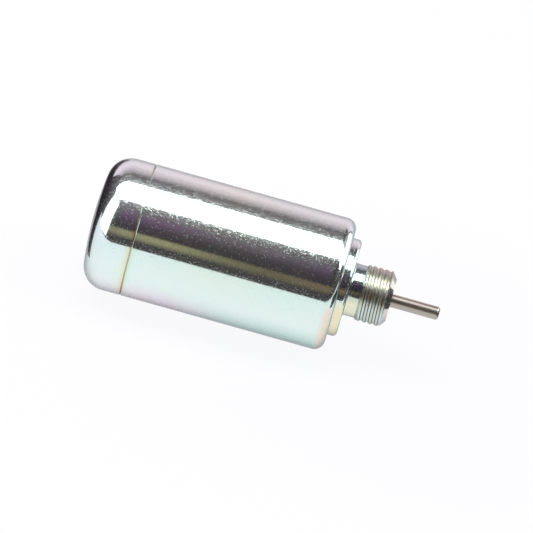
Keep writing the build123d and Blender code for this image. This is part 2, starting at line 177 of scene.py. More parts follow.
pale_pink = ((0, "#ffe2ed"), (1, "#ffe2ed"))
khaki = ((0.472, "#938768"), (0.479, "#c9b98f"), (0.485, "#59513a"), (0.489, "#4e4632"), (0.495, "#7d6044"))
plum = (
    (0.36, "#363030"),
    (0.397, "#48104f"),
    (0.416, "#48104f"),
    (0.428, "#4b3437"),
    (0.436, "#363030"),
    (0.475, "#363030"),
    (0.49, "#42184c"),
    (0.51, "#42184c"),
    (0.53, "#363030"),
)
back_glow = ((0, 0.79), (0.3, 0.59), (0.475, 0.43), (0.665, 0.27), (0.89, 0.07), (1, 0.03))
front_glow = ((0, 0.04), (0.25, 0.28), (0.45, 0.45), (0.8, 0.45), (1, 0.05))
plum_glow = ((0, 0.15), (0.13, 0.22), (0.24, 0.3), (0.37, 0.48), (0.52, 0.66), (1, 0.7))
board("back_board", x=-0.25, y=1.2, low=0.0, high=1.6, width=1.9, tints=pale_pink, glows=back_glow)
board("front_board", x=0, y=-2.2, low=0.36, high=1.05, width=5.0, tints=khaki, glows=front_glow)
board("plum_board", x=0, y=-2.2, low=1.05, high=3.6, width=1.6, tints=plum, glows=plum_glow)

# The white board stands a metre off, turned to the nose. Its lower left corner is cut
# off along a slant.
white_way = radians(114)
white_height, white_width = 1.56, 1.25
slant_foot, slant_across, slant_up = 0.035, 0.826, 0.66
white, even_glow = ((0, "#ffffff"), (1, "#ffffff")), ((0, 1), (1, 1))
white_board = board("white_board", 0, 0, 0, white_height, white_width, white, even_glow)
across_board = Vector((cos(white_way), sin(white_way), 0))
white_foot = Vector((sin(white_way), -cos(white_way), floor_z))
white_board.location = white_foot + Vector((0, 0, white_height / 2))
white_board.rotation_euler = (pi / 2, 0, white_way)
bpy.ops.object.transform_apply(location=True, rotation=True, scale=True)
bpy.ops.object.mode_set(mode="EDIT")
bpy.ops.mesh.select_all(action="SELECT")
bpy.ops.mesh.bisect(
    plane_co=white_foot + across_board * slant_foot,
    plane_no=across_board * slant_across + Vector((0, 0, slant_up)),
    clear_inner=True,
)
bpy.ops.object.mode_set(mode="OBJECT")

# Black cards: low or small ones of matt black paper, close to the solenoid, which only
# its reflections show. They end the floor's reflection, and darken the left rim and the
# front edge.
black_paper = new_material(
    "black_paper", {"Base Color": srgb("#1c1719"), "Roughness": 0.9, "Specular IOR Level": 0}
)[0]


def black_card(name, x, y, width, height, turned_by, foot_z=floor_z):
    """An upright card at a place and of a size in millimetres, turned by degrees."""
    middle = (x * mm, y * mm, foot_z + height * mm / 2)
    bpy.ops.mesh.primitive_plane_add(size=1, location=middle, rotation=(pi / 2, 0, radians(turned_by)))
    card = bpy.context.object
    card.name = name
    card.scale = (width * mm, height * mm, 1)
    card.data.materials.append(black_paper)
    for ray in ("camera", "diffuse", "shadow"):
        setattr(card, "visible_" + ray, False)


black_card("card_front", x=0, y=-360, width=3000, height=24, turned_by=0)
black_card("card_left", x=-84, y=46, width=108, height=33, turned_by=90)
black_card("card_nose", x=42, y=-16, width=38, height=18, turned_by=90)
black_card("card_right", x=33.5, y=18.5, width=40.7, height=8.5, turned_by=114.7)
black_card("card_edge", x=27, y=2.5, width=17, height=15, turned_by=90, foot_z=-3 * mm)

# Net: a grey scrim stretched level over the nose, which takes the glare off its thread
# and pin. It lets a fifth of the light through.
net_rear_x, net_front_x = -3.6 * mm, 40 * mm
net_width, net_z = 120 * mm, 60 * mm
light_passed = 0.2
bpy.ops.mesh.primitive_plane_add(size=1, location=((net_rear_x + net_front_x) / 2, 0, net_z))
net = bpy.context.object
net.name = "net"
net.scale = (net_front_x - net_rear_x, net_width, 1)
net.visible_camera = False
grey_scrim = bpy.data.materials.new("grey_scrim")
grey_scrim.use_nodes = True
scrim = add_node(grey_scrim, "BsdfTransparent", {0: (light_passed, light_passed, light_passed, 1)})
scrim_output = grey_scrim.node_tree.nodes["Material Output"]
grey_scrim.node_tree.links.new(scrim.outputs[0], scrim_output.inputs["Surface"])
net.data.materials.append(grey_scrim)

# Room: dim all round, so what faces no board or light is dark but not black.
world = bpy.data.worlds.new("dim_room")
bpy.context.scene.world = world
world.use_nodes = True
world.node_tree.nodes["Background"].inputs["Color"].default_value = srgb("#332c30")


# Can: a drawn steel tube, its front edge turned in over the flange with a large
# radius, and its rear edge bevelled at the seam with the cap. A slot with round ends is
# punched in its far side, for the terminals.
def arc(centre_x, centre_r, radius, first, last, steps):
    """Rings on an arc of a turned profile. Angles are in degrees from the front."""
    angles = [radians(first + (last - first) * i / steps) for i in range(steps + 1)]
    return [(centre_x + radius * cos(a), centre_r + radius * sin(a)) for a in angles]


smooth_below = radians(28)
merge_below = 0.002


def turned(name, rings, around=240):
    """A turned piece: a ring of edges, extruded and scaled from ring to ring of its profile."""
    bpy.ops.object.select_all(action="DESELECT")
    x, radius = rings[0]
    bpy.ops.mesh.primitive_circle_add(
        vertices=around, radius=radius * mm, location=(x * mm, 0, 0), rotation=(0, pi / 2, 0)
    )
    piece = bpy.context.object
    piece.name = name
    bpy.ops.object.transform_apply(location=True, rotation=True)
    bpy.ops.object.mode_set(mode="EDIT")
    bpy.ops.mesh.select_all(action="SELECT")
    for next_x, next_radius in rings[1:]:
        bpy.ops.mesh.extrude_edges_move(TRANSFORM_OT_translate={"value": ((next_x - x) * mm, 0, 0)})
        grow = next_radius / radius
        bpy.ops.transform.resize(value=(1, grow, grow), center_override=(next_x * mm, 0, 0))
        x, radius = next_x, next_radius
    bpy.ops.mesh.select_all(action="SELECT")
    bpy.ops.mesh.remove_doubles(threshold=merge_below * mm)
    bpy.ops.mesh.normals_make_consistent(inside=False)
    bpy.ops.object.mode_set(mode="OBJECT")
    bpy.ops.object.shade_smooth_by_angle(angle=smooth_below)
    return piece


body_radius = 16.5
sheet = 1.5
seam_x = -59.5
can_flank, cap_flank, seam_depth = 0.3, 0.14, 0.26
body_front_x = -8.5
front_edge_radius = 2.7
lip_radius = 12.18
inner_radius = body_radius - sheet
bend_inner_radius = front_edge_radius - sheet
bend_x, bend_r = body_front_x - front_edge_radius, body_radius - front_edge_radius
wall_places = (-50, -40, -30, -20)
bend_support = 0.2

can_rings = [(seam_x, inner_radius), (seam_x, body_radius - seam_depth), (seam_x + can_flank, body_radius)]
can_rings += [(x, body_radius) for x in (*wall_places, bend_x - bend_support)]
can_rings += arc(bend_x, bend_r, front_edge_radius, 90, 0, steps=16)
can_rings += [(body_front_x, lip_radius), (body_front_x - sheet, lip_radius)]
can_rings += arc(bend_x, bend_r, bend_inner_radius, 0, 90, steps=6)
can_rings += [(seam_x, inner_radius)]
can = turned("can_shell", can_rings)

window_x, window_y = -39.0, 15.75
window_length, window_width, window_cut = 17.6, 4.6, 6.0
window_end_flat = 0.01
bpy.ops.mesh.primitive_cube_add(size=1, location=(window_x * mm, window_y * mm, 0))
punch = bpy.context.object
punch.scale = (window_length * mm, window_cut * mm, window_width * mm)
bpy.ops.object.transform_apply(location=True, scale=True)
bpy.ops.object.mode_set(mode="EDIT")
bpy.ops.mesh.select_all(action="DESELECT")
bpy.ops.object.mode_set(mode="OBJECT")
for edge in punch.data.edges:
    ends = [punch.data.vertices[i].co for i in edge.vertices]
    edge.select = abs(ends[0].y - ends[1].y) > mm
bpy.ops.object.mode_set(mode="EDIT")
bpy.ops.mesh.bevel(offset=(window_width / 2 - window_end_flat) * mm, segments=16)
bpy.ops.object.mode_set(mode="OBJECT")
bpy.context.view_layer.objects.active = can
window = can.modifiers.new("window", "BOOLEAN")
window.object = punch
window.solver = "EXACT"
bpy.ops.object.modifier_apply(modifier=window.name)
bpy.data.objects.remove(punch)
bpy.ops.object.select_all(action="DESELECT")
can.select_set(True)
bpy.ops.object.shade_smooth_by_angle(angle=smooth_below)


# Zinc plate: bright barrel-plated zinc under a clear passivation film. The film is mint
# and pale blue on the barrel, and straw and pink low down at the front edge. Over it,
# colour by height is painted light: a paler blue lower side and pink and teal along the
# bottom are painted reflection, and darker tops to the neck and nose are painted shade.
# The plate has a faint orange peel and scattered dull specks.
def per(size):
    """A texture scale for features of that size in millimetres."""
    return 1000 / size


def stops_at(low, high, tones):
    """Ramp stops for tones at places in millimetres, on a ramp from one place to another."""
    return [((place - low) / (high - low), tone) for place, tone in tones]


zinc, zinc_shader = new_material(
    "zinc_plate",
    {
        "Metallic": 1,
        "Specular Tint": srgb("#8f9296"),
        "Coat Weight": 1,
        "Coat Roughness": 0.39,
        "Coat IOR": 1.8,
    },
)
place = add_node(zinc, "TexCoord").outputs["Object"]
place_parts = add_node(zinc, "SeparateXYZ", {}, {0: place}).outputs
plate_x = place_parts["X"]

# The film along the whole body, with a cloud that shifts its bands.
film_rear_x, film_front_x = -70.8 * mm, 4.2 * mm
along_body = add_node(
    zinc, "MapRange", {"From Min": film_rear_x, "From Max": film_front_x}, {"Value": plate_x}
)
stretched = add_node(zinc, "Mapping", {"Scale": (0.4, 1, 1)}, {"Vector": place}).outputs["Vector"]
cloud = add_node(
    zinc, "TexNoise", {"Scale": per(14), "Detail": 3, "Roughness": 0.45}, {"Vector": stretched}
).outputs[0]
drift = add_node(zinc, "MapRange", {"To Min": -0.05, "To Max": 0.05}, {"Value": cloud}).outputs[0]
film = add_node(zinc, "Math", {"operation": "ADD"}, {0: along_body.outputs[0], 1: drift}).outputs[0]
film_stops = (
    (0.00, "#d3dfe6"),
    (0.08, "#dcf0ee"),
    (0.22, "#dcf0ea"),
    (0.45, "#dbefe3"),
    (0.66, "#d9efe7"),
    (1.00, "#d9eeea"),
)
film_colour = add_node(zinc, "ValToRGB", {"stops": film_stops}, {0: film}).outputs["Color"]

# Painted reflection, by height: pale blue and a little brighter on the lower side, which
# reflects the floor, and pink and teal at the very bottom.
wander = add_node(zinc, "Math", {"operation": "MULTIPLY", 1: 4 * mm}, {0: cloud}).outputs[0]
level = add_node(zinc, "Math", {"operation": "ADD"}, {0: place_parts["Z"], 1: wander}).outputs[0]
underside = add_node(
    zinc,
    "MapRange",
    {"interpolation_type": "SMOOTHSTEP", "From Min": 5 * mm, "From Max": -3 * mm},
    {"Value": level},
).outputs[0]
# Painted reflection: pale blue, a little brighter, on the lower side.
film_and_low_reflection = add_node(
    zinc, "Mix", {"data_type": "RGBA", 7: srgb("#e1f2ed")}, {"Factor": underside, 6: film_colour}
).outputs[2]
# Painted reflection: pink and teal tints along the very bottom.
bottom_reflection_mask = add_node(
    zinc, "MapRange", {"From Min": -3.5 * mm, "From Max": -9 * mm}, {"Value": level}
).outputs[0]
bottom_reflection_stops = (
    (0.05, "#f6fafa"),
    (0.17, "#f4ecf3"),
    (0.30, "#efe2f0"),
    (0.38, "#e8e6ee"),
    (0.47, "#d2ebe5"),
    (0.66, "#c7e9e2"),
    (0.80, "#c4e5db"),
)
bottom_reflection_tint = add_node(zinc, "ValToRGB", {"stops": bottom_reflection_stops}, {0: film}).outputs["Color"]
barrel_film_and_reflection = add_node(
    zinc, "Mix", {"data_type": "RGBA"}, {"Factor": bottom_reflection_mask, 6: film_and_low_reflection, 7: bottom_reflection_tint}
).outputs[2]

# The film at the front, from the can's edge to the nose: straw and pink low down. Higher
# up is painted shade: the neck's top blue-grey and the nose's top a darker grey.
front_rear_x, front_end_x = -11.4, 4.4
along_front = add_node(
    zinc, "MapRange", {"From Min": front_rear_x * mm, "From Max": front_end_x * mm}, {"Value": plate_x}
).outputs[0]
front_tones = (
    (-10.6, "#ecd9cc"),
    (-9.3, "#e9dcc8"),
    (-8.7, "#d8efdc"),
    (-8.3, "#ece1c4"),
    (-7.2, "#eee1bc"),
    (-6.5, "#dcecc8"),
    (-5.8, "#e8e6c6"),
    (-3.4, "#dfe6cf"),
    (-2.9, "#d3e0e6"),
    (3.0, "#d3dde0"),
    (4.2, "#ecd8cc"),
)
# Painted shade: a blue-grey top to the neck and a darker grey top to the nose.
upper_shade_tones = ((-6.5, "#d9eeea"), (-5.9, "#9fbcc0"), (-3.6, "#9fbcc0"), (-2.9, "#bcbbae"), (4.2, "#bcbbae"))
front_film = add_node(
    zinc, "ValToRGB", {"stops": stops_at(front_rear_x, front_end_x, front_tones)}, {0: along_front}
).outputs["Color"]
front_top_shade = add_node(
    zinc, "ValToRGB", {"stops": stops_at(front_rear_x, front_end_x, upper_shade_tones)}, {0: along_front}
).outputs["Color"]
at_front = add_node(zinc, "MapRange", {"From Max": 0.1}, {"Value": along_front}).outputs[0]
low_side = add_node(zinc, "MapRange", {"From Min": 5 * mm, "From Max": 2 * mm}, {"Value": level}).outputs[0]
straw = add_node(zinc, "Math", {"operation": "MULTIPLY"}, {0: at_front, 1: low_side}).outputs[0]
upper_film_and_shade = add_node(
    zinc, "Mix", {"data_type": "RGBA"}, {"Factor": at_front, 6: barrel_film_and_reflection, 7: front_top_shade}
).outputs[2]
film_and_painted_light = add_node(
    zinc, "Mix", {"data_type": "RGBA"}, {"Factor": straw, 6: upper_film_and_shade, 7: front_film}
).outputs[2]

# The film beside the seam, where it dried thicker: straw and pink. Towards the top the
# tint fades out: painted light, so that the top of the seam shows lighter.
seam_reach = 1.8
near_seam = add_node(
    zinc,
    "MapRange",
    {"From Min": (seam_x - seam_reach) * mm, "From Max": (seam_x + seam_reach) * mm},
    {"Value": plate_x},
).outputs[0]
seam_stops = (
    (0.00, "#ffffff"),
    (0.18, "#fffcf2"),
    (0.40, "#fff0d2"),
    (0.45, "#f8e2d0"),
    (0.55, "#f3e6da"),
    (0.61, "#ecf7e0"),
    (0.78, "#f8fef6"),
    (1.00, "#ffffff"),
)
seam_glow = add_node(zinc, "ValToRGB", {"stops": seam_stops}, {0: near_seam}).outputs["Color"]
# Painted light: the seam's tint fades towards the top, leaving the top lighter.
seam_painted_fade = add_node(
    zinc, "MapRange", {"From Min": 15 * mm, "From Max": 10 * mm, "To Min": 0.2}, {"Value": level}
).outputs[0]
plate_colour = add_node(
    zinc,
    "Mix",
    {"data_type": "RGBA", "blend_type": "MULTIPLY"},
    {"Factor": seam_painted_fade, 6: film_and_painted_light, 7: seam_glow},
).outputs[2]

# The thread: rougher than the barrel, with painted highlights on its blue-white roots and
# straw crests, and painted shade on its dark flanks.
thread_low, thread_high = 6.62, 7.02
thread_light_and_shade_tones = ((6.68, "#f2fdff"), (6.74, "#757260"), (6.89, "#757260"), (6.95, "#f5efd9"))
off_axis = add_node(zinc, "VectorMath", {"operation": "MULTIPLY", 1: (0, 1, 1)}, {0: place}).outputs[0]
radius = add_node(zinc, "VectorMath", {"operation": "LENGTH"}, {0: off_axis}).outputs["Value"]
up_thread = add_node(
    zinc, "MapRange", {"From Min": thread_low * mm, "From Max": thread_high * mm}, {"Value": radius}
).outputs[0]
# Painted light and shade by radius: blue-white roots, dark flanks, straw crests.
thread_painted_light = add_node(
    zinc, "ValToRGB", {"stops": stops_at(thread_low, thread_high, thread_light_and_shade_tones)}, {0: up_thread}
).outputs["Color"]
past_neck = add_node(
    zinc, "MapRange", {"From Min": -3.3 * mm, "From Max": -2.7 * mm}, {"Value": plate_x}
).outputs[0]
to_chamfer = add_node(
    zinc, "MapRange", {"From Min": 3.3 * mm, "From Max": 2.9 * mm}, {"Value": plate_x}
).outputs[0]
on_thread = add_node(zinc, "Math", {"operation": "MULTIPLY"}, {0: past_neck, 1: to_chamfer}).outputs[0]
thread_with_painted_light = add_node(
    zinc,
    "Mix",
    {"data_type": "RGBA", "blend_type": "MULTIPLY"},
    {"Factor": on_thread, 6: plate_colour, 7: thread_painted_light},
).outputs[2]
rough_thread = add_node(zinc, "MapRange", {"To Min": 0.07, "To Max": 0.28}, {"Value": on_thread}).outputs[0]

# Peel, grain and specks. The real specks are about 0.1 mm across, too fine to show, so
# they are drawn three to four times as coarse.
peel = add_node(zinc, "TexNoise", {"Scale": per(0.7), "Detail": 2}, {"Vector": place}).outputs[0]
grain = add_node(zinc, "TexNoise", {"Scale": per(0.3), "Detail": 1}, {"Vector": place}).outputs[0]
peel_bump = add_node(zinc, "Bump", {"Strength": 1, "Distance": 0.0006 * mm}, {"Height": peel})
grain_bump = add_node(zinc, "Bump", {"Strength": 1, "Distance": 0.07 * mm}, {"Height": grain})
specks = add_node(zinc, "TexVoronoi", {"Scale": per(0.36)}, {"Vector": place}).outputs
speck = add_node(
    zinc, "MapRange", {"From Min": 0.5, "From Max": 0.2}, {"Value": specks["Distance"]}
).outputs[0]
chance = add_node(zinc, "SeparateColor", {}, {0: specks["Color"]}).outputs[0]
rare = add_node(
    zinc, "MapRange", {"From Min": 0.35, "From Max": 1.0, "To Max": 0.3}, {"Value": chance}
).outputs[0]
speck_rough = add_node(zinc, "Math", {"operation": "MULTIPLY"}, {0: speck, 1: rare}).outputs[0]
plate_rough = add_node(zinc, "Math", {"operation": "ADD"}, {0: rough_thread, 1: speck_rough}).outputs[0]
zinc.node_tree.links.new(thread_with_painted_light, zinc_shader.inputs["Base Color"])
zinc.node_tree.links.new(plate_rough, zinc_shader.inputs["Roughness"])
zinc.node_tree.links.new(peel_bump.outputs[0], zinc_shader.inputs["Normal"])
zinc.node_tree.links.new(grain_bump.outputs[0], zinc_shader.inputs["Coat Normal"])
can.data.materials.append(zinc)
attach(can, "housing")
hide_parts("can")

# Rear cap: a drawn cup of the same sheet, with a slightly domed end and a large
# corner. Its joggled rim sits inside the can, and its edge makes the other half of the seam.
rear_x = -70.8
corner_radius, corner_steps = 6.0, 18
dome_radius, dome_steps = 80.0, 10
corner_support_x = seam_x - 4.3
spigot_clearance, spigot_wall, spigot_length, joggle_length = 0.05, 1.4, 3.0, 1.6
spigot_outer_radius = inner_radius - spigot_clearance
spigot_inner_radius = spigot_outer_radius - spigot_wall
spigot_end_x = seam_x + spigot_length
joggle_x = seam_x - joggle_length
axis_gap = 0.0004


def cup_end(wall_radius, corner, dome, apex_x):
    """Rings from the straight wall round the corner and over the dome to the axis."""
    centre_x = apex_x + dome
    lean = asin((wall_radius - corner) / (dome - corner))
    corner_x = centre_x - (dome - corner) * cos(lean)
    round_corner = [
        (corner_x - corner * sin(a), wall_radius - corner + corner * cos(a))
        for a in [(pi / 2 - lean) * i / corner_steps for i in range(corner_steps + 1)]
    ]
    over_dome = [
        (centre_x - dome * cos(a), dome * sin(a))
        for a in [lean * (1 - i / dome_steps) for i in range(1, dome_steps + 1)]
    ]
    return [(x, max(r, axis_gap)) for x, r in round_corner + over_dome]


outer_end = cup_end(body_radius, corner_radius, dome_radius, rear_x)
inner_end = cup_end(inner_radius, corner_radius - sheet, dome_radius - sheet, rear_x + sheet)
cap_rings = outer_end[::-1] + [(corner_support_x, body_radius)]
cap_rings += [(seam_x - cap_flank, body_radius), (seam_x, body_radius - seam_depth)]
cap_rings += [(seam_x, spigot_outer_radius), (spigot_end_x, spigot_outer_radius)]
cap_rings += [(spigot_end_x, spigot_inner_radius), (seam_x, spigot_inner_radius), (joggle_x, inner_radius)]
cap_rings += inner_end
cap = turned("rear_cap_cup", cap_rings)
cap.data.materials.append(zinc)
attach(cap, "housing")
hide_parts("rear_cap")

# Nose flange: turned from steel bar and plated with the can. The can's lip holds its
# flange, the stepped disc stands out through the lip, and the nose has a right-hand
# thread of 14 mm by 1.5 mm, bored for the seal and the guide bush.
seat_x = -6.3
step_radius, step_edge = 12.15, 1.0
flange_front_x, flange_rear_x = body_front_x - sheet, -14.0
flange_radius, flange_chamfer = 14.95, 1.35
neck_radius, neck_fillet = 6.5, 0.55
neck_end_x = -3.4
thread_radius = 7.0
thread_rear_x, thread_front_x = -2.9, 2.9
nose_end_x, nose_end_radius = 4.2, 5.3
bush_bore, bush_chamfer = 3.5, 0.25
bush_seat_x = -3.3
pin_bore = 2.1
tube_bore, tube_seat_x = 5.61, -11.2
thread_pitch, thread_start = 1.5, 0.45
crest_radius, root_radius = 6.97, 6.67
groove_middle, groove_swing = 0.5, 0.7
run_out_gap, run_out_length = 0.3, 0.9
ring_step = 0.06
edge_support = 0.1
bore_wall = 0.3


def nose_radius(x):
    """The nose's outside before the thread is cut: chamfer, thread land, run-out to the neck."""
    if x > thread_front_x:
        drop = (x - thread_front_x) / (nose_end_x - thread_front_x)
        return thread_radius - drop * (thread_radius - nose_end_radius)
    rise = min((x - neck_end_x) / (thread_rear_x - neck_end_x), 1)
    return neck_radius + rise * (thread_radius - neck_radius)


ring_count = ceil((nose_end_x - neck_end_x) / ring_step)
nose_places = [nose_end_x - (nose_end_x - neck_end_x) * i / ring_count for i in range(ring_count + 1)]
nose_rings = [(bush_seat_x, bush_bore), (nose_end_x - bush_chamfer, bush_bore)]
nose_rings += [(nose_end_x, bush_bore + bush_chamfer)]
nose_rings += [(x, nose_radius(x)) for x in nose_places]
nose_rings += [(seat_x + neck_fillet + edge_support, neck_radius)]
nose_rings += arc(seat_x + neck_fillet, neck_radius + neck_fillet, neck_fillet, 270, 180, steps=6)
nose_rings += arc(seat_x - step_edge, step_radius - step_edge, step_edge, 0, 90, steps=10)
nose_rings += [(seat_x - step_edge - edge_support, step_radius)]
nose_rings += [(flange_front_x, step_radius), (flange_front_x, flange_radius - flange_chamfer)]
nose_rings += [(flange_front_x - flange_chamfer, flange_radius), (flange_rear_x, flange_radius)]
nose_rings += [(flange_rear_x, tube_bore), (tube_seat_x, tube_bore), (tube_seat_x, pin_bore)]
nose_rings += [(bush_seat_x, pin_bore), (bush_seat_x, bush_bore)]
nose = turned("threaded_nose", nose_rings)
for vertex in nose.data.vertices:
    x, y, z = vertex.co / mm
    radius = sqrt(y * y + z * z)
    if neck_end_x < x < nose_end_x and radius > bush_bore + bore_wall:
        phase = ((x - thread_start) / thread_pitch - atan2(z, y) / (2 * pi)) % 1
        groove = min(max(groove_middle + groove_swing * cos(2 * pi * phase), 0), 1)
        run_out = min(max((x - thread_rear_x + run_out_gap) / run_out_length, 0), 1)
        depth = (crest_radius - root_radius) * groove * run_out
        shrink = min(radius, crest_radius - depth) / radius
        vertex.co = (x * mm, y * shrink * mm, z * shrink * mm)
bpy.ops.object.shade_smooth_by_angle(angle=smooth_below)
nose.data.materials.append(zinc)
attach(nose, "housing")
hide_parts("nose_flange")

# Push pin: bright steel rod with a rounded tip, centreless ground, so that fine lines
# run round it. It is pressed into the plunger and moves with it.
pin_radius = 1.65
pin_foot_x, pin_tip_x = -21.1, 16.3
pin_foot_chamfer = 0.3
pin_tip_radius = 0.7
pin_rings = [(pin_foot_x, axis_gap), (pin_foot_x, pin_radius - pin_foot_chamfer)]
pin_rings += [(pin_foot_x + pin_foot_chamfer, pin_radius)]
pin_rings += arc(pin_tip_x - pin_tip_radius, pin_radius - pin_tip_radius, pin_tip_radius, 90, 0, steps=8)
pin_rings += [(pin_tip_x, axis_gap)]
pin = turned("ground_pin", pin_rings, around=96)

# The lines are drawn 0.2 mm apart, coarser than real ones, so that they show.
ground_steel, steel_shader = new_material("ground_steel", {"Base Color": srgb("#b3ada4"), "Metallic": 1})
place = add_node(ground_steel, "TexCoord").outputs["Object"]
along = add_node(ground_steel, "Mapping", {"Scale": (14, 1, 1)}, {"Vector": place}).outputs["Vector"]
lines = add_node(ground_steel, "TexNoise", {"Scale": per(3), "Detail": 4}, {"Vector": along}).outputs[0]
ground_bump = add_node(ground_steel, "Bump", {"Strength": 0.6, "Distance": 0.004 * mm}, {"Height": lines})
steel_rough = add_node(ground_steel, "MapRange", {"To Min": 0.26, "To Max": 0.4}, {"Value": lines})
ground_steel.node_tree.links.new(ground_bump.outputs[0], steel_shader.inputs["Normal"])
ground_steel.node_tree.links.new(steel_rough.outputs[0], steel_shader.inputs["Roughness"])
pin.data.materials.append(ground_steel)
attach(pin, "plunger_set")
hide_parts("push_pin")

# Return spring: oil-tempered steel wire wound with an open pitch, its end coils closed
# and ground flat. It sits in the rear pole and pushes in the plunger's bore.
spring_rear_x, spring_front_x = -49.5, -23.1
wire_radius = 0.3
spring_radius = 2.3
spring_pitch = 2.1
ground_off = 0.02
wire_sides, steps_per_turn = 14, 36
closed_rise = 2 * wire_radius
open_turns = (spring_front_x - spring_rear_x - 2 * wire_radius - 2 * closed_rise) / spring_pitch
turns = ceil(open_turns) + 2
spring_pitch *= open_turns / ceil(open_turns)


def spring_rise(turn):
    """How far the wire's middle has risen after so many turns."""
    closed = min(turn, 1) + max(turn - (turns - 1), 0)
    return closed * closed_rise + (turn - closed) * spring_pitch


bpy.ops.object.select_all(action="DESELECT")
bpy.ops.mesh.primitive_circle_add(
    vertices=wire_sides, radius=wire_radius * mm, location=(0, spring_radius * mm, 0)
)
spring = bpy.context.object
spring.name = "wound_spring"
bpy.ops.object.transform_apply(location=True)
wind = spring.modifiers.new("wind", "SCREW")
wind.axis = "X"
wind.iterations = turns
wind.steps = wind.render_steps = steps_per_turn
wind.use_merge_vertices = False
bpy.ops.object.modifier_apply(modifier=wind.name)
for index, vertex in enumerate(spring.data.vertices):
    middle_x = spring_rear_x + wire_radius + spring_rise(index // wire_sides / steps_per_turn)
    x = middle_x + vertex.co.x / mm
    vertex.co.x = min(max(x, spring_rear_x + ground_off), spring_front_x - ground_off) * mm
bpy.ops.object.mode_set(mode="EDIT")
bpy.ops.mesh.select_all(action="SELECT")
bpy.ops.mesh.fill_holes(sides=0)
bpy.ops.mesh.normals_make_consistent(inside=False)
bpy.ops.object.mode_set(mode="OBJECT")
bpy.ops.object.shade_smooth_by_angle(angle=radians(40))
spring_wire, wire_shader = new_material("oil_tempered_wire", {"Base Color": srgb("#6f6f73"), "Metallic": 1})
place = add_node(spring_wire, "TexCoord").outputs["Object"]
scale_marks = add_node(
    spring_wire, "TexNoise", {"Scale": per(0.5), "Detail": 3}, {"Vector": place}
).outputs[0]
wire_rough = add_node(spring_wire, "MapRange", {"To Min": 0.25, "To Max": 0.5}, {"Value": scale_marks})
spring_wire.node_tree.links.new(wire_rough.outputs[0], wire_shader.inputs["Roughness"])
spring.data.materials.append(spring_wire)
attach(spring, "housing")
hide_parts("return_spring")
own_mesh(spring)


# Plunger, rear pole and rear plate: soft iron, turned on a lathe and left bare. The
# tool leaves fine rings round each diameter and spirals on each face.
def dress(material, *nodes):
    """Gives CAD nodes a material in their own slots."""
    for node in nodes:
        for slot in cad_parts[node].material_slots:
            slot.material = material


turned_iron, iron_shader = new_material("turned_soft_iron", {"Base Color": srgb("#8b8987"), "Metallic": 1})
place = add_node(turned_iron, "TexCoord").outputs["Object"]
iron_x = add_node(turned_iron, "SeparateXYZ", {}, {0: place}).outputs["X"]
off_axis = add_node(
    turned_iron, "VectorMath", {"operation": "MULTIPLY", 1: (0, 1, 1)}, {0: place}
).outputs[0]
iron_radius = add_node(turned_iron, "VectorMath", {"operation": "LENGTH"}, {0: off_axis}).outputs["Value"]
feed = add_node(turned_iron, "Math", {"operation": "ADD"}, {0: iron_x, 1: iron_radius}).outputs[0]
rings = add_node(
    turned_iron, "TexNoise", {"noise_dimensions": "1D", "Scale": per(0.18), "Detail": 3}, {"W": feed}
).outputs[0]
ring_bump = add_node(turned_iron, "Bump", {"Strength": 0.7, "Distance": 0.01 * mm}, {"Height": rings})
iron_rough = add_node(turned_iron, "MapRange", {"To Min": 0.26, "To Max": 0.46}, {"Value": rings})
turned_iron.node_tree.links.new(ring_bump.outputs[0], iron_shader.inputs["Normal"])
turned_iron.node_tree.links.new(iron_rough.outputs[0], iron_shader.inputs["Roughness"])
dress(turned_iron, "plunger", "rear_pole", "rear_plate")

# Guide tube and residual shim: brass, the tube drawn along its axis. Die lines run
# lengthwise, coarser than real ones so that they show, and the tone drifts a little
# where hands have touched it.
drawn_brass, brass_shader = new_material("drawn_brass", {"Metallic": 1, "Roughness": 0.25})
place = add_node(drawn_brass, "TexCoord").outputs["Object"]
lengthwise = add_node(drawn_brass, "Mapping", {"Scale": (0.03, 1, 1)}, {"Vector": place}).outputs["Vector"]
die_lines = add_node(
    drawn_brass, "TexNoise", {"Scale": per(0.2), "Detail": 3}, {"Vector": lengthwise}
).outputs[0]
handled = add_node(drawn_brass, "TexNoise", {"Scale": per(6), "Detail": 2}, {"Vector": place}).outputs[0]
brass_tone = add_node(
    drawn_brass, "ValToRGB", {"stops": ((0.35, "#d3ad5f"), (0.65, "#bb9148"))}, {0: handled}
)
brass_bump = add_node(drawn_brass, "Bump", {"Strength": 0.6, "Distance": 0.006 * mm}, {"Height": die_lines})
drawn_brass.node_tree.links.new(brass_tone.outputs["Color"], brass_shader.inputs["Base Color"])
drawn_brass.node_tree.links.new(brass_bump.outputs[0], brass_shader.inputs["Normal"])
dress(drawn_brass, "guide_tube", "residual_shim")

# Guide bush: bronze powder pressed, sintered and soaked in oil. Its open pores show as
# dark specks on a dull brown metal, drawn coarser than real ones so that they show.
sintered, sintered_shader = new_material("sintered_bronze", {"Metallic": 1, "Roughness": 0.45})
place = add_node(sintered, "TexCoord").outputs["Object"]
pores = add_node(sintered, "TexVoronoi", {"Scale": per(0.16)}, {"Vector": place}).outputs["Distance"]
bronze_tone = add_node(sintered, "ValToRGB", {"stops": ((0.12, "#4b3623"), (0.32, "#a07a4c"))}, {0: pores})
pore_bump = add_node(sintered, "Bump", {"Strength": 0.8, "Distance": 0.02 * mm}, {"Height": pores})
sintered.node_tree.links.new(bronze_tone.outputs["Color"], sintered_shader.inputs["Base Color"])
sintered.node_tree.links.new(pore_bump.outputs[0], sintered_shader.inputs["Normal"])
dress(sintered, "guide_bush")

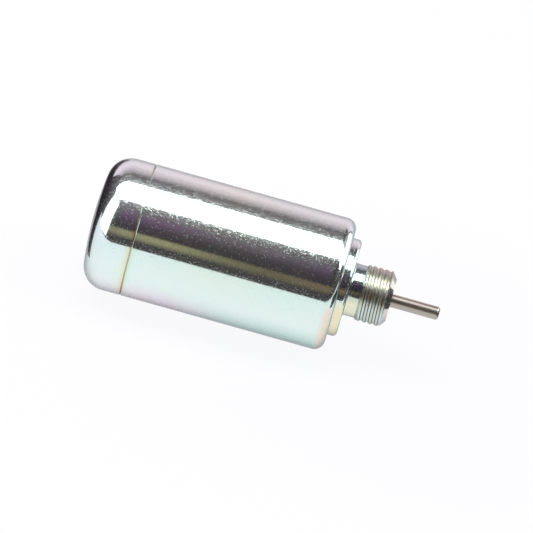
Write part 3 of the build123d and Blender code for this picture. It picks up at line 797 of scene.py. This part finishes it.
# Bobbin: moulded in natural nylon with glass fibre. It is cream and slightly waxy, with
# fibres that lie along the flow, coarser than real ones so that they show.
natural_nylon, nylon_shader = new_material("glass_filled_nylon_natural", {"IOR": 1.53, "Roughness": 0.48})
place = add_node(natural_nylon, "TexCoord").outputs["Object"]
flow = add_node(natural_nylon, "Mapping", {"Scale": (0.2, 1, 1)}, {"Vector": place}).outputs["Vector"]
fibres = add_node(natural_nylon, "TexNoise", {"Scale": per(0.25), "Detail": 4}, {"Vector": flow}).outputs[0]
nylon_tone = add_node(
    natural_nylon, "ValToRGB", {"stops": ((0.35, "#d8cfb4"), (0.7, "#c3b894"))}, {0: fibres}
)
fibre_bump = add_node(natural_nylon, "Bump", {"Strength": 0.5, "Distance": 0.01 * mm}, {"Height": fibres})
natural_nylon.node_tree.links.new(nylon_tone.outputs["Color"], nylon_shader.inputs["Base Color"])
natural_nylon.node_tree.links.new(fibre_bump.outputs[0], nylon_shader.inputs["Normal"])
dress(natural_nylon, "bobbin")

# Coil: enamelled copper wire wound in close layers, so its outside is a row of fine
# round turns. The enamel is clear, red-brown and glossy. A wave texture repeats every
# 0.314 of a unit at a scale of 1, which sets the turns' width.
wire_turn = 0.42
wave_repeat = 0.314
wound_copper, wound_shader = new_material(
    "wound_enamelled_copper", {"Metallic": 1, "Roughness": 0.28, "Coat Weight": 0.8}
)
place = add_node(wound_copper, "TexCoord").outputs["Object"]
wire_rows = add_node(
    wound_copper,
    "TexWave",
    {"Scale": wave_repeat * per(wire_turn), "Distortion": 0.3, "Detail": 1, "Detail Scale": 1},
    {"Vector": place},
).outputs[0]
# Painted shade: the grooves between the turns are darker.
turn_groove_shade = add_node(
    wound_copper, "ValToRGB", {"stops": ((0.0, "#5c2a17"), (0.4, "#bf6a40"))}, {0: wire_rows}
)
row_bump = add_node(wound_copper, "Bump", {"Strength": 1, "Distance": 0.12 * mm}, {"Height": wire_rows})
wound_copper.node_tree.links.new(turn_groove_shade.outputs["Color"], wound_shader.inputs["Base Color"])
wound_copper.node_tree.links.new(row_bump.outputs[0], wound_shader.inputs["Normal"])
dress(wound_copper, "coil")

# Winding leads: the same enamelled copper in a thicker wire, smooth apart from the
# unevenness of the enamel.
lead_copper, lead_shader = new_material(
    "enamelled_copper_wire", {"Metallic": 1, "Roughness": 0.24, "Coat Weight": 0.8}
)
place = add_node(lead_copper, "TexCoord").outputs["Object"]
enamel = add_node(lead_copper, "TexNoise", {"Scale": per(1.2), "Detail": 3}, {"Vector": place}).outputs[0]
enamel_tone = add_node(
    lead_copper, "ValToRGB", {"stops": ((0.35, "#c4703f"), (0.65, "#a4522c"))}, {0: enamel}
)
lead_copper.node_tree.links.new(enamel_tone.outputs["Color"], lead_shader.inputs["Base Color"])
dress(lead_copper, "coil_lead_front", "coil_lead_rear")

# Coil wrap: amber polyester tape, wound with a lap. The lap's edges show as darker
# lines, a tape's width apart and slightly slanted.
tape_width, tape_slant = 12.0, radians(8)
tape, tape_shader = new_material("polyester_tape", {"Roughness": 0.3, "Coat Weight": 0.3})
place = add_node(tape, "TexCoord").outputs["Object"]
slanted = add_node(tape, "Mapping", {"Rotation": (0, 0, tape_slant)}, {"Vector": place}).outputs["Vector"]
laps = add_node(
    tape,
    "TexWave",
    {"wave_profile": "SAW", "Scale": wave_repeat * per(tape_width), "Distortion": 0.2},
    {"Vector": slanted},
).outputs[0]
tape_stops = ((0.0, "#8f6a1c"), (0.04, "#d1a83c"), (0.9, "#c79c34"), (1.0, "#8f6a1c"))
tape_tone = add_node(tape, "ValToRGB", {"stops": tape_stops}, {0: laps})
tape_bump = add_node(tape, "Bump", {"Strength": 0.8, "Distance": 0.05 * mm}, {"Height": laps})
tape.node_tree.links.new(tape_tone.outputs["Color"], tape_shader.inputs["Base Color"])
tape.node_tree.links.new(tape_bump.outputs[0], tape_shader.inputs["Normal"])
dress(tape, "coil_wrap")

# Rings, washers, pin seal and terminal gasket: moulded nitrile rubber, near black, with
# a fine matt skin and a bloom that greys it in patches.
rubber, rubber_shader = new_material("nitrile_rubber", {"Roughness": 0.62, "IOR": 1.52})
place = add_node(rubber, "TexCoord").outputs["Object"]
skin = add_node(rubber, "TexNoise", {"Scale": per(0.12), "Detail": 3}, {"Vector": place}).outputs[0]
bloom = add_node(rubber, "TexNoise", {"Scale": per(4), "Detail": 4}, {"Vector": place}).outputs[0]
rubber_tone = add_node(rubber, "ValToRGB", {"stops": ((0.4, "#19191a"), (0.75, "#2c2c2d"))}, {0: bloom})
skin_bump = add_node(rubber, "Bump", {"Strength": 0.6, "Distance": 0.012 * mm}, {"Height": skin})
rubber.node_tree.links.new(rubber_tone.outputs["Color"], rubber_shader.inputs["Base Color"])
rubber.node_tree.links.new(skin_bump.outputs[0], rubber_shader.inputs["Normal"])
dress(rubber, "bumper_washer", "flange_ring", "stack_ring", "pin_seal", "terminal_gasket")

# Terminal block: moulded in black nylon with glass fibre. The mould's spark-eroded
# texture gives it an even satin grain, drawn a little coarse to show, with a few pale
# fibres at the skin.
black_nylon, block_shader = new_material("glass_filled_nylon_black", {"IOR": 1.53})
place = add_node(black_nylon, "TexCoord").outputs["Object"]
spark_grain = add_node(
    black_nylon, "TexNoise", {"Scale": per(0.18), "Detail": 3}, {"Vector": place}
).outputs[0]
pale_fibre = add_node(black_nylon, "TexNoise", {"Scale": per(0.5), "Detail": 5}, {"Vector": place}).outputs[0]
block_tone = add_node(
    black_nylon, "ValToRGB", {"stops": ((0.5, "#17171a"), (0.8, "#3a3a3c"))}, {0: pale_fibre}
)
spark_bump = add_node(black_nylon, "Bump", {"Strength": 0.8, "Distance": 0.02 * mm}, {"Height": spark_grain})
block_rough = add_node(black_nylon, "MapRange", {"To Min": 0.34, "To Max": 0.52}, {"Value": spark_grain})
black_nylon.node_tree.links.new(block_tone.outputs["Color"], block_shader.inputs["Base Color"])
black_nylon.node_tree.links.new(spark_bump.outputs[0], block_shader.inputs["Normal"])
black_nylon.node_tree.links.new(block_rough.outputs[0], block_shader.inputs["Roughness"])
dress(black_nylon, "terminal_block")

# Terminal blades: brass strip, tinned and then stamped. The faces are soft white tin
# with rolling lines along the blade, and the sheared edges show the brass.
tinned, tinned_shader = new_material("tinned_brass", {"Metallic": 1})
blade_place = add_node(tinned, "TexCoord").outputs
rolled = add_node(
    tinned, "Mapping", {"Scale": (1, 0.05, 1)}, {"Vector": blade_place["Object"]}
).outputs["Vector"]
roll_lines = add_node(tinned, "TexNoise", {"Scale": per(0.22), "Detail": 3}, {"Vector": rolled}).outputs[0]
facing = add_node(tinned, "SeparateXYZ", {}, {0: blade_place["Normal"]}).outputs["Z"]
flatness = add_node(tinned, "Math", {"operation": "ABSOLUTE"}, {0: facing}).outputs[0]
blade_tone = add_node(tinned, "ValToRGB", {"stops": ((0.45, "#c3a25e"), (0.6, "#b3b0a7"))}, {0: flatness})
roll_bump = add_node(tinned, "Bump", {"Strength": 0.5, "Distance": 0.006 * mm}, {"Height": roll_lines})
tinned_rough = add_node(tinned, "MapRange", {"To Min": 0.4, "To Max": 0.58}, {"Value": roll_lines})
tinned.node_tree.links.new(blade_tone.outputs["Color"], tinned_shader.inputs["Base Color"])
tinned.node_tree.links.new(roll_bump.outputs[0], tinned_shader.inputs["Normal"])
tinned.node_tree.links.new(tinned_rough.outputs[0], tinned_shader.inputs["Roughness"])
dress(tinned, "terminal_blade_front", "terminal_blade_rear")
